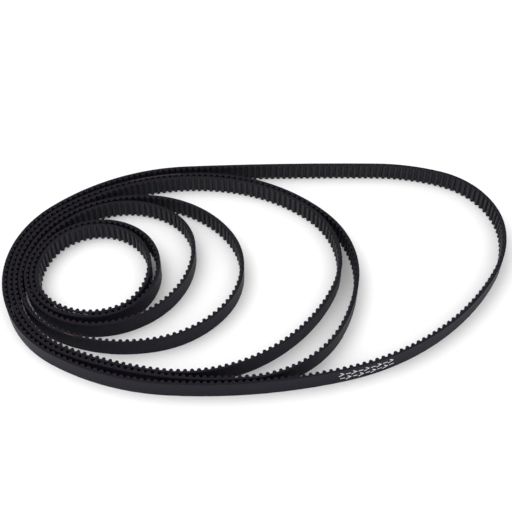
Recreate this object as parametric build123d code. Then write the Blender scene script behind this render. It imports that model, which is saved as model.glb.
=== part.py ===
from build123d import *
from math import cos, degrees, pi, radians, sin
import os

import numpy as np

# Seven endless synchronous belts stand on their cut edges, one inside the other.
# Every belt runs counterclockwise seen from above, with its teeth on the inside.
# The origin is the centre of the nest on the floor, and the belts fan out towards +X.

# Belt section, in mm. Heights are measured outward from the pitch line, where the cord lies.
pitch = 2.0
belt_width = 6.0
back_height = 0.376
land_height = -0.254
tooth_height = 0.75
facing_thickness = 0.08

# Tension cord: one layer of turns side by side, each in a round-bottomed groove of the back.
cord_radius = 0.09
groove_radius = 0.095
cord_bed = -0.1
cord_turns = 9
cord_spacing = 0.64

# Tooth form: a round tip between two round flanks, with a small fillet to the land.
tip_radius = 0.555
flank_radius = 1.0
flank_offset = 0.4
root_radius = 0.15

# Each loop starts on its left side, at (x, y) with a heading in degrees, and is a ring of
# tangent arcs. An arc (teeth, degrees) holds a whole number of teeth and turns by that angle.
belts = {
    "belt_400": {
        "start": (-77.5, -11.4),
        "heading": -87,
        "arcs": [(18, 57), (18, 27), (26, 18), (31, 46), (8, 26), (17, 76), (11, 19), (32, 4), (24, 40), (15, 50)],
    },
    "belt_300": {
        "start": (-75.8, -12.3),
        "heading": -85.5,
        "arcs": [(19, 63), (27, 26), (17, 56), (9, 19), (15, 51), (21, 42), (26, 42), (16, 56)],
    },
    "belt_280": {
        "start": (-74.3, -10.2),
        "heading": -89,
        "arcs": [(19, 67), (14, 15), (16, 40), (16, 34), (18, 73), (13, 29), (31, 54), (13, 50)],
    },
    "belt_200": {
        "start": (-72.6, -9.2),
        "heading": -93,
        "arcs": [(15, 69), (15, 36), (12, 41), (15, 69), (14, 46), (15, 45), (14, 53)],
    },
    "belt_158": {
        "start": (-70.0, -3.8),
        "heading": -108,
        "arcs": [(11, 63), (10, 48), (12, 46), (10, 40), (10, 58), (12, 55), (14, 49)],
    },
    "belt_122": {
        "start": (-69.3, -11.3),
        "heading": -86.5,
        "arcs": [(9, 60), (8, 41), (10, 61), (12, 73), (11, 64), (11, 63)],
    },
    "belt_110": {
        "start": (-67.6, -8.7),
        "heading": -96.5,
        "arcs": [(8, 60), (10, 57), (4, 34), (9, 55), (20, 133), (4, 20)],
    },
}


def loop_end(heading, teeth, turns):
    """Where a chain of tangent arcs ends, seen from its start, and how far it turned past a full circle."""
    x = y = 0.0
    angle = heading
    for count, turn in zip(teeth, turns):
        radius = count * pitch / turn
        x += radius * (sin(angle + turn) - sin(angle))
        y -= radius * (cos(angle + turn) - cos(angle))
        angle += turn
    return np.array([x, y, 50 * (angle - heading - 2 * pi)])


def closed_turns(heading, arcs):
    """The arcs' angles in radians, each changed by the least that closes the loop."""
    teeth = [count for count, _ in arcs]
    turns = np.radians([turn for _, turn in arcs])
    small = 1e-6
    for _ in range(8):
        miss = loop_end(heading, teeth, turns)
        steps = np.eye(len(turns)) * small
        slopes = [(loop_end(heading, teeth, turns + step) - miss) / small for step in steps]
        turns = turns - np.linalg.lstsq(np.array(slopes).T, miss, rcond=None)[0]
    return [float(turn) for turn in turns]


def belt_arcs(belt, shift=(0.0, 0.0)):
    """The pitch line's arcs, each with its centre, pitch radius, first normal angle, turn and teeth."""
    x, y = belt["start"][0] - shift[0], belt["start"][1] - shift[1]
    normal = radians(belt["heading"] - 90)
    arcs = []
    for (count, _), turn in zip(belt["arcs"], closed_turns(radians(belt["heading"]), belt["arcs"])):
        radius = count * pitch / turn
        centre = (x - radius * cos(normal), y - radius * sin(normal))
        arcs.append({"centre": centre, "radius": radius, "from": normal, "turn": turn, "teeth": count})
        normal += turn
        x, y = centre[0] + radius * cos(normal), centre[1] + radius * sin(normal)
    return arcs


def on_arc(arc, height, angle):
    """The point on an arc's normal at an angle, at a height outward from the pitch line."""
    reach = arc["radius"] + height
    return (arc["centre"][0] + reach * cos(angle), arc["centre"][1] + reach * sin(angle))


def extent(arcs, height, direction):
    """How far the loop at a height reaches along a direction, given as an angle."""
    best = None
    for arc in arcs:
        turned = (direction - arc["from"]) % (2 * pi)
        if turned <= arc["turn"]:
            x, y = on_arc(arc, height, direction)
            best = x * cos(direction) + y * sin(direction)
    return best


def smooth_wire(arcs, height):
    """A plain loop at a height from the pitch line."""
    edges = []
    first = on_arc(arcs[0], height, arcs[0]["from"])
    start = first
    for index, arc in enumerate(arcs):
        middle = on_arc(arc, height, arc["from"] + arc["turn"] / 2)
        end = first if index == len(arcs) - 1 else on_arc(arc, height, arc["from"] + arc["turn"])
        edges.append(ThreePointArc(start, middle, end))
        start = end
    return Wire(edges)


def tooth_points(depth):
    """Half of a tooth's outline as (x, height) from its middle, sunk by a depth below the running surface.

    The points are the tip, the tip arc's end, the flank arc's middle and end, and the root fillet's middle
    and end, and the last one lies on the land.
    """
    tip_centre = tooth_height - tip_radius
    lean = np.arctan2(tip_centre, flank_offset)
    foot = np.arcsin(root_radius / (flank_radius + root_radius))
    root_x = (flank_radius + root_radius) * cos(foot) - flank_offset
    outline = []
    for angle in (pi / 2, lean):
        reach = tip_radius - depth
        outline.append((reach * cos(angle), tip_centre + reach * sin(angle)))
    for angle in ((lean + foot) / 2, foot):
        reach = flank_radius - depth
        outline.append((reach * cos(angle) - flank_offset, reach * sin(angle)))
    for angle in (pi + (foot + pi / 2) / 2, pi * 1.5):
        reach = root_radius + depth
        outline.append((root_x + reach * cos(angle), root_radius + reach * sin(angle)))
    return outline


def toothed_wire(arcs, depth):
    """The toothed loop, sunk by a depth below the running surface."""
    half = tooth_points(depth)
    edges = []
    first = start = None
    for arc in arcs:
        land = arc["radius"] + land_height
        for tooth in range(arc["teeth"]):
            middle = arc["from"] + (tooth + 0.5) * arc["turn"] / arc["teeth"]

            def place(side, point):
                return on_arc(arc, land_height - point[1], middle + side * point[0] / land)

            left = [place(-1, point) for point in half]
            right = [place(1, point) for point in half]
            if start is None:
                first = left[5]
            else:
                gap_middle = on_arc(arc, land_height + depth, middle - arc["turn"] / arc["teeth"] / 2)
                edges.append(ThreePointArc(start, gap_middle, left[5]))
            edges.append(ThreePointArc(left[5], left[4], left[3]))
            edges.append(ThreePointArc(left[3], left[2], left[1]))
            edges.append(ThreePointArc(left[1], left[0], right[1]))
            edges.append(ThreePointArc(right[1], right[2], right[3]))
            edges.append(ThreePointArc(right[3], right[4], right[5]))
            start = right[5]
    gap_middle = on_arc(arcs[0], land_height + depth, arcs[0]["from"])
    edges.append(ThreePointArc(start, gap_middle, first))
    return Wire(edges)


def band(outer, inner):
    """A ring of the belt's full width between two loops."""
    return extrude(Face(outer, [inner]), belt_width)


def ring_of(arcs, section):
    """A ring made by turning a section about each arc's centre. section(arc) draws it at that arc's start."""
    pieces = []
    for arc in arcs:
        axis = Axis((arc["centre"][0], arc["centre"][1], 0), (0, 0, 1))
        pieces.append(revolve(section(arc), axis, degrees(arc["turn"])))
    return pieces[0].fuse(*pieces[1:]).clean()


def section_plane(arc):
    """The upright plane across the belt at an arc's start: x runs outward and y runs up the belt's width."""
    x, y = on_arc(arc, 0, arc["from"])
    outward = (cos(arc["from"]), sin(arc["from"]), 0)
    return Plane(origin=(x, y, 0), x_dir=outward, z_dir=(sin(arc["from"]), -cos(arc["from"]), 0))


cord_levels = [belt_width / 2 + cord_spacing * (turn - (cord_turns - 1) / 2) for turn in range(cord_turns)]


def back_section(arc):
    """The back: smooth outside, with a groove for every turn of cord in its inner face."""
    edges = [Line((cord_bed, 0), (back_height, 0))]
    edges.append(Line((back_height, 0), (back_height, belt_width)))
    edges.append(Line((back_height, belt_width), (cord_bed, belt_width)))
    last = (cord_bed, belt_width)
    for level in reversed(cord_levels):
        top, low = level + groove_radius, level - groove_radius
        edges.append(Line(last, (cord_bed, top)))
        edges.append(Line((cord_bed, top), (0, top)))
        edges.append(ThreePointArc((0, top), (groove_radius, level), (0, low)))
        edges.append(Line((0, low), (cord_bed, low)))
        last = (cord_bed, low)
    edges.append(Line(last, (cord_bed, 0)))
    return section_plane(arc) * Face(Wire(edges))


def cord_section(arc):
    """One turn of cord, at the height of the lowest turn."""
    return section_plane(arc) * Pos(0, cord_levels[0]) * Face(Wire.make_circle(cord_radius))


def main():
    os.makedirs("parts", exist_ok=True)
    outer = belt_arcs(belts["belt_400"])
    low_x, high_x = -extent(outer, back_height, pi), extent(outer, back_height, 0)
    low_y, high_y = -extent(outer, back_height, pi * 1.5), extent(outer, back_height, pi / 2)
    centre = ((low_x + high_x) / 2, (low_y + high_y) / 2)
    print("nest is", round(high_x - low_x, 2), "by", round(high_y - low_y, 2), "centre", centre)

    for name, belt in belts.items():
        arcs = belt_arcs(belt, centre)
        print(name, "teeth", sum(arc["teeth"] for arc in arcs))
        print("  turns", [round(degrees(arc["turn"]), 1) for arc in arcs])

        bed = smooth_wire(arcs, cord_bed)
        running = toothed_wire(arcs, 0.0)
        bonded = toothed_wire(arcs, facing_thickness)
        back = ring_of(arcs, back_section)
        turn = ring_of(arcs, cord_section)
        cord = Compound([Pos(0, 0, level - cord_levels[0]) * turn for level in cord_levels])
        pieces = {
            "back": back,
            "cord": cord,
            "teeth": band(bed, bonded),
            "facing": band(bonded, running),
        }
        for piece, shape in pieces.items():
            export_step(shape, f"parts/{name}_{piece}.step", write_pcurves=False)


main()
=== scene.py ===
from math import atan2, cos, degrees, pi, radians, sin

import bmesh
import bpy
from mathutils import Matrix, Vector
from mathutils.bvhtree import BVHTree


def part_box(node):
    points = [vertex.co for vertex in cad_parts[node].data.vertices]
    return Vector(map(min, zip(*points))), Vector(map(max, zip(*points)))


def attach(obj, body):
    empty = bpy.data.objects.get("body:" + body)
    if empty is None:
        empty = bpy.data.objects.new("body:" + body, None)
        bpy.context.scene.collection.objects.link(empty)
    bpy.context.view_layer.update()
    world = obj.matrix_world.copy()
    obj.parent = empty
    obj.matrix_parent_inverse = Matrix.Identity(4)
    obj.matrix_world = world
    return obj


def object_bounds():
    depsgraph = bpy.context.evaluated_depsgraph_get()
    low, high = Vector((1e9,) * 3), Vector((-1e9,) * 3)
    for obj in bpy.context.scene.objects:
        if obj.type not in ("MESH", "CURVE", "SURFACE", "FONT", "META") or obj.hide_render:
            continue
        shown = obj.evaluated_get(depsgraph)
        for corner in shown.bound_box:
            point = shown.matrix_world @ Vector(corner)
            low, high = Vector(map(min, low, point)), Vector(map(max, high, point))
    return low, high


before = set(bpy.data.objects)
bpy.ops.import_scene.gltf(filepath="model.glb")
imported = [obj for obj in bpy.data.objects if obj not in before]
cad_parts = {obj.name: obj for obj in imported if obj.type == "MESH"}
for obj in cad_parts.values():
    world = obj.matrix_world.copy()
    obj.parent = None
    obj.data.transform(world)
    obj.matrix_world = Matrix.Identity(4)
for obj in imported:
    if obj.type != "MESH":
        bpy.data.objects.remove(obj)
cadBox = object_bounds()
print("frame loaded:", len(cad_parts), "belt pieces")
mm = 0.001


def linear(code):
    # sRGB hex to the linear colour a shader takes
    values = [int(code[i:i + 2], 16) / 255 for i in (1, 3, 5)]
    return [v / 12.92 if v <= 0.04045 else ((v + 0.055) / 1.055) ** 2.4 for v in values] + [1.0]


def addNode(tree, kind, links=None, inputs=None, **settings):
    # links: input name to the socket that feeds it, inputs: input name to its value
    node = tree.nodes.new(kind)
    for name, value in settings.items():
        setattr(node, name, value)
    for name, value in (inputs or {}).items():
        node.inputs[name].default_value = value
    for name, socket in (links or {}).items():
        tree.links.new(socket, node.inputs[name])
    return node


def newMaterial(name, **values):
    # values: names of the shader's inputs, and what each is all over the surface
    material = bpy.data.materials.new(name)
    material.use_nodes = True
    shader = material.node_tree.nodes["Principled BSDF"]
    for key, value in values.items():
        shader.inputs[key].default_value = value
    return material, material.node_tree, shader


def grainOf(tree, size, detail):
    # noise with patches of a size in mm, laid over the piece where it lies
    place = addNode(tree, "ShaderNodeTexCoord").outputs["Object"]
    inputs = {"Scale": 1 / (size * mm), "Detail": detail}
    return addNode(tree, "ShaderNodeTexNoise", {"Vector": place}, inputs).outputs["Fac"]


def ramp(tree, factor, stops):
    # stops: places along the ramp and their hex colours
    node = addNode(tree, "ShaderNodeValToRGB", {"Fac": factor})
    edges = node.color_ramp.elements
    for element, (place, code) in zip(edges, stops):
        element.position = place
        element.color = linear(code)
    return node.outputs["Color"]


def mixColour(tree, factor, first, second):
    node = addNode(tree, "ShaderNodeMix", {"Factor": factor}, data_type="RGBA")
    tree.links.new(first, node.inputs[6])    # the two colour inputs, which share their names with the others
    tree.links.new(second, node.inputs[7])
    return node.outputs[2]


def addBump(tree, shader, height, strength, depth):
    # depth in mm
    bump = addNode(tree, "ShaderNodeBump", {"Height": height}, {"Strength": strength, "Distance": depth * mm})
    tree.links.new(bump.outputs["Normal"], shader.inputs["Normal"])


# camera, floor and light
studio = {
    "target": (-0.94, 8.01, 0.0),       # mm, the point on the floor in the middle of the view
    "distance": 0.300,
    "elevation": 50.5,
    "lens": 65.9,
    "floorHalfSize": 3.0,
    "floorDrop": 0.02,                  # mm under the cut edges, so the two faces don't coincide
    "floorColour": "#fbfbfb",
    "worldStrength": 0.9,
    "keyPlace": (-0.38, 0.10, 0.62),
    "keySize": 0.7,
    "keyPower": 2.3,
    "fillPlace": (0.30, -0.45, 0.45),
    "fillSize": 0.6,
    "fillPower": 0.7,
}


def makeCamera(target):
    rise = radians(studio["elevation"])
    data = bpy.data.cameras.new("studioCamera")
    data.lens = studio["lens"]
    data.sensor_width = 36
    data.clip_start = 0.01
    camera = bpy.data.objects.new("studioCamera", data)
    camera.location = target + studio["distance"] * Vector((0, -cos(rise), sin(rise)))
    camera.rotation_euler = (radians(90) - rise, 0, 0)
    bpy.context.scene.collection.objects.link(camera)
    bpy.context.scene.camera = camera


def makeFloor():
    sheet = bmesh.new()
    bmesh.ops.create_grid(sheet, x_segments=2, y_segments=2, size=studio["floorHalfSize"])
    bmesh.ops.translate(sheet, vec=(0, 0, -studio["floorDrop"] * mm), verts=sheet.verts)
    mesh = bpy.data.meshes.new("studioFloor")
    sheet.to_mesh(mesh)
    sheet.free()
    floor = bpy.data.objects.new("studioFloor", mesh)
    bpy.context.scene.collection.objects.link(floor)
    look = {"Roughness": 0.9, "Specular IOR Level": 0.1, "Base Color": linear(studio["floorColour"])}
    mesh.materials.append(newMaterial("matPaperSweep", **look)[0])


def makeLights(target):
    world = bpy.data.worlds.new("softRoom")
    world.use_nodes = True
    background = world.node_tree.nodes["Background"]
    background.inputs["Color"].default_value = linear("#ffffff")
    background.inputs["Strength"].default_value = studio["worldStrength"]
    bpy.context.scene.world = world
    for label in ("key", "fill"):
        data = bpy.data.lights.new(label + "Softbox", "AREA")
        data.shape = "DISK"
        data.size = studio[label + "Size"]
        data.energy = studio[label + "Power"]
        lamp = bpy.data.objects.new(label + "Softbox", data)
        lamp.location = studio[label + "Place"]
        lamp.rotation_euler = (target - lamp.location).to_track_quat("-Z", "Y").to_euler()
        bpy.context.scene.collection.objects.link(lamp)


middleOfView = Vector(studio["target"]) * mm
makeCamera(middleOfView)
makeFloor()
makeLights(middleOfView)
bpy.context.scene.view_settings.view_transform = "Standard"
print("studio ready")


backFinish = {
    "dark": "#12101a",
    "light": "#1c1925",
    "cutDark": "#151318",
    "cutLight": "#221f25",
    "mottle": 1.6,          # mm, soft cloudy patches left by the mould's heat
    "grain": 0.22,          # mm, the fine orange-peel of moulded rubber
    "bumpStrength": 0.25,
    "bumpDepth": 0.02,      # mm
    "glossiest": 0.43,      # roughness where the mottle is darkest
    "dullest": 0.6,         # roughness where it is lightest
    "specular": 0.1,
    "cutSlope": 0.7,        # a face this near to level is a cut edge
}


def cutMask(tree):
    # 1 on the cut edges, which face straight up or down, and 0 on the sides
    normal = addNode(tree, "ShaderNodeNewGeometry").outputs["Normal"]
    split = addNode(tree, "ShaderNodeSeparateXYZ", {"Vector": normal})
    level = addNode(tree, "ShaderNodeMath", {0: split.outputs["Z"]}, operation="ABSOLUTE").outputs[0]
    limit = {1: backFinish["cutSlope"]}
    return addNode(tree, "ShaderNodeMath", {0: level}, limit, operation="GREATER_THAN").outputs[0]


def backMaterial():
    # moulded chloroprene: nearly black with a soft satin shine, greyer and duller where the blade cut it
    look = {"Specular IOR Level": backFinish["specular"]}
    material, tree, shader = newMaterial("mouldedChloroprene", **look)
    mottle = grainOf(tree, backFinish["mottle"], 3.0)
    grain = grainOf(tree, backFinish["grain"], 2.0)
    side = ramp(tree, mottle, [(0.3, backFinish["dark"]), (0.7, backFinish["light"])])
    cut = ramp(tree, grain, [(0.3, backFinish["cutDark"]), (0.7, backFinish["cutLight"])])
    mask = cutMask(tree)
    tree.links.new(mixColour(tree, mask, side, cut), shader.inputs["Base Color"])
    span = {"To Min": backFinish["glossiest"], "To Max": backFinish["dullest"]}
    rough = addNode(tree, "ShaderNodeMapRange", {"Value": mottle}, span).outputs[0]
    dull = addNode(tree, "ShaderNodeMath", {0: mask, 1: rough}, operation="MAXIMUM").outputs[0]
    tree.links.new(dull, shader.inputs["Roughness"])
    addBump(tree, shader, grain, backFinish["bumpStrength"], backFinish["bumpDepth"])
    return material


toothFinish = {
    "cutDark": "#141217",
    "cutLight": "#211e24",
    "grain": 0.18,          # mm, torn grain of cut rubber
    "bumpStrength": 0.3,
    "bumpDepth": 0.02,      # mm
    "roughness": 0.8,
    "specular": 0.08,
}


def toothMaterial():
    # tooth rubber shows only at the cut edges, where it is matt
    look = {"Roughness": toothFinish["roughness"], "Specular IOR Level": toothFinish["specular"]}
    material, tree, shader = newMaterial("cutToothRubber", **look)
    grain = grainOf(tree, toothFinish["grain"], 3.0)
    cut = ramp(tree, grain, [(0.3, toothFinish["cutDark"]), (0.7, toothFinish["cutLight"])])
    tree.links.new(cut, shader.inputs["Base Color"])
    addBump(tree, shader, grain, toothFinish["bumpStrength"], toothFinish["bumpDepth"])
    return material


facingFinish = {
    "dark": "#0c0b11",
    "light": "#211e2a",
    "thread": 0.3,          # mm, drawn about twice as coarse as the real weave so that it shows
    "fuzz": 0.5,            # mm
    "bumpStrength": 0.35,
    "bumpDepth": 0.03,      # mm
    "roughness": 0.5,
    "specular": 0.22,
    "sheen": 0.02,
}


def facingMaterial():
    # woven nylon skin, black and dry, with threads running round the belt and a faint sheen
    look = {"Roughness": facingFinish["roughness"], "Specular IOR Level": facingFinish["specular"]}
    look |= {"Sheen Weight": facingFinish["sheen"], "Sheen Roughness": 0.5}
    material, tree, shader = newMaterial("wovenNylonFacing", **look)
    place = addNode(tree, "ShaderNodeTexCoord").outputs["Object"]
    weave = {"Scale": 1 / (pi * facingFinish["thread"] * mm), "Distortion": 0.6, "Detail": 1.0}
    bands = {"wave_type": "BANDS", "bands_direction": "Z"}
    threads = addNode(tree, "ShaderNodeTexWave", {"Vector": place}, weave, **bands).outputs["Fac"]
    fuzz = grainOf(tree, facingFinish["fuzz"], 4.0)
    cloth = addNode(tree, "ShaderNodeMath", {0: threads, 1: fuzz}, operation="MULTIPLY").outputs[0]
    colour = ramp(tree, cloth, [(0.1, facingFinish["dark"]), (0.6, facingFinish["light"])])
    tree.links.new(colour, shader.inputs["Base Color"])
    addBump(tree, shader, cloth, facingFinish["bumpStrength"], facingFinish["bumpDepth"])
    return material


cordFinish = {
    "dark": "#3a2721",
    "light": "#7a5a4a",
    "twist": 0.35,          # mm, length of one twist of the strands
    "roughness": 0.55,
}


def cordMaterial():
    # twisted glass-fibre cord in its brown rubber dip
    material, tree, shader = newMaterial("dippedGlassCord", Roughness=cordFinish["roughness"])
    strands = grainOf(tree, cordFinish["twist"], 2.0)
    colour = ramp(tree, strands, [(0.35, cordFinish["dark"]), (0.65, cordFinish["light"])])
    tree.links.new(colour, shader.inputs["Base Color"])
    return material


finishes = {"back": backMaterial(), "teeth": toothMaterial(), "facing": facingMaterial(), "cord": cordMaterial()}
for name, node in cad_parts.items():
    part = name.rsplit("_", 1)[1]
    node.data.materials.clear()
    node.data.materials.append(finishes[part])
print("belt materials set")


# cord laid bare where the blade ran along a turn of it
bareCord = {
    "thickness": 0.20,      # mm across the strand that shows
    "proud": 0.03,          # mm above the cut edge
    "sink": 0.06,           # mm that the strand dives back into the rubber at both ends
    "roundness": 3,         # extra edges in a quarter of the strand
    "weld": 0.0005,         # mm, joins the end caps to the strand
    "runs": {               # belt: first and last direction from the loop's middle, in degrees
        "belt_300": [(84, 128), (136, 143)],
        "belt_200": [(231, 246)],
    },
}


def cordPath(beltName):
    # the pitch line, as direction to place, read from the crest of the belt's top turn of cord
    places = [vert.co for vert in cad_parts[beltName + "_cord"].data.vertices]
    crest = max(place.z for place in places)
    low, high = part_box(beltName + "_cord")
    middle = (low + high) / 2
    path = {}
    for place in places:
        if place.z > crest - 0.001 * mm:
            direction = round(degrees(atan2(place.y - middle.y, place.x - middle.x)) % 360, 3)
            path[direction] = place
    return path


def makeBareCord(name, line):
    data = bpy.data.curves.new("bareCord", "CURVE")
    data.dimensions = "3D"
    data.bevel_depth = bareCord["thickness"] / 2 * mm
    data.bevel_resolution = bareCord["roundness"]
    data.use_fill_caps = True
    spline = data.splines.new("POLY")
    spline.points.add(len(line) - 1)
    for index, (point, place) in enumerate(zip(spline.points, line)):
        share = index / (len(line) - 1)
        sink = bareCord["sink"] * (2 * share - 1) ** 2
        lift = bareCord["proud"] - bareCord["thickness"] / 2 - sink
        point.co = (place.x, place.y, cadBox[1].z + lift * mm, 1)
    curve = bpy.data.objects.new("bareCord", data)
    mesh = bpy.data.meshes.new_from_object(curve)
    bpy.data.objects.remove(curve)
    bm = bmesh.new()
    bm.from_mesh(mesh)
    bmesh.ops.remove_doubles(bm, verts=bm.verts, dist=bareCord["weld"] * mm)
    bmesh.ops.recalc_face_normals(bm, faces=bm.faces)
    bm.to_mesh(mesh)
    bm.free()
    mesh.materials.append(finishes["cord"])
    piece = bpy.data.objects.new(name, mesh)
    bpy.context.scene.collection.objects.link(piece)
    return piece


for beltName, runs in bareCord["runs"].items():
    path = cordPath(beltName)
    for number, (first, last) in enumerate(runs):
        line = [path[direction] for direction in sorted(path) if first <= direction <= last]
        strand = makeBareCord(f"bareCord_{beltName}_{number + 1}", line)
        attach(strand, beltName)
print("bare cord laid")


# white running marks printed on the backs, plain arrows and dashes
inkMarks = {
    "film": 0.012,          # mm thick
    "underside": 0.002,     # mm off the rubber
    "stroke": 0.28,         # mm
    "slant": 0.25,          # sideways lean for each mm of height
    "reach": 0.3,           # half a mark's length, as a share of the spacing
    "standOff": 1.5,        # mm from the back to where a row is drawn before it is pressed on
    "dark": "#8d8d92",
    "light": "#f2f2f3",
    "grain": 0.35,          # mm, where the ink missed the grain of the rubber
    "rows": [
        # place is the row's middle and heading its direction seen from above, level is its height up the
        # belt, and marks is what it prints: > an arrow head and - a dash
        {"belt": "belt_400", "place": (30.9, -37.0), "heading": 19, "level": 4.0,
         "marks": ">->->->->", "height": 1.4, "spacing": 1.9},
        {"belt": "belt_400", "place": (31.2, -36.9), "heading": 19, "level": 2.0,
         "marks": "->->->->-", "height": 1.4, "spacing": 1.9},
        {"belt": "belt_110", "place": (-56.9, -18.9), "heading": -22, "level": 5.15,
         "marks": ">->->->", "height": 1.1, "spacing": 1.6},
    ],
}


def inkMaterial():
    # thin white pad-printed ink: flat, slightly broken up where it missed the grain of the rubber
    material, tree, shader = newMaterial("padPrintedInk", Roughness=0.6)
    cover = grainOf(tree, inkMarks["grain"], 2.0)
    colour = ramp(tree, cover, [(0.32, inkMarks["dark"]), (0.5, inkMarks["light"])])
    tree.links.new(colour, shader.inputs["Base Color"])
    return material


def addStroke(bm, start, end):
    # a straight stroke in the row's own plane, fine enough to bend with the belt
    grid = bmesh.ops.create_grid(bm, x_segments=6, y_segments=1, size=0.5)["verts"]
    start, end = Vector(start), Vector(end)
    along = end - start
    width = inkMarks["stroke"]
    turn = Matrix.Rotation(atan2(along.y, along.x), 4, "Z")
    bmesh.ops.scale(bm, vec=(along.length + width, width, 1), verts=grid)
    bmesh.ops.transform(bm, matrix=turn, verts=grid)
    bmesh.ops.translate(bm, vec=((start + end) / 2).to_3d(), verts=grid)


def drawRow(bm, row):
    half, wide = row["height"] / 2, inkMarks["reach"] * row["spacing"]
    for index, mark in enumerate(row["marks"]):
        x = (index - (len(row["marks"]) - 1) / 2) * row["spacing"]
        corners = [(-wide, half), (wide, 0), (-wide, -half)] if mark == ">" else [(-wide, 0), (wide, 0)]
        for start, end in zip(corners, corners[1:]):
            addStroke(bm, (x + start[0], start[1]), (x + end[0], end[1]))
    for vert in bm.verts:
        vert.co.x += inkMarks["slant"] * vert.co.y


def pressRow(bm, row):
    # stand the row up beside the belt, press it onto the back and give it its thickness
    heading = radians(row["heading"])
    along = Vector((cos(heading), sin(heading), 0))
    away = Vector((along.y, -along.x, 0))
    origin = Vector(row["place"]).to_3d() + inkMarks["standOff"] * away
    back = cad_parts[row["belt"] + "_back"].data
    surface = BVHTree.FromPolygons([v.co for v in back.vertices], [p.vertices for p in back.polygons])
    for vert in bm.verts:
        flat = origin + vert.co.x * along
        place = Vector((flat.x, flat.y, row["level"] + vert.co.y)) * mm
        hit, normal, _, _ = surface.ray_cast(place, -away)
        vert.co = hit + normal * inkMarks["underside"] * mm
    bm.normal_update()
    outward = [face for face in bm.faces if face.normal.dot(away) > 0]
    bmesh.ops.reverse_faces(bm, faces=outward)
    bmesh.ops.solidify(bm, geom=bm.faces[:], thickness=inkMarks["film"] * mm)
    bmesh.ops.recalc_face_normals(bm, faces=bm.faces)


ink = inkMaterial()
for number, row in enumerate(inkMarks["rows"]):
    bm = bmesh.new()
    drawRow(bm, row)
    pressRow(bm, row)
    mesh = bpy.data.meshes.new("inkRow")
    bm.to_mesh(mesh)
    bm.free()
    mesh.materials.append(ink)
    piece = bpy.data.objects.new(f"inkRow_{row['belt']}_{number + 1}", mesh)
    bpy.context.scene.collection.objects.link(piece)
    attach(piece, row["belt"])
print("running marks printed")
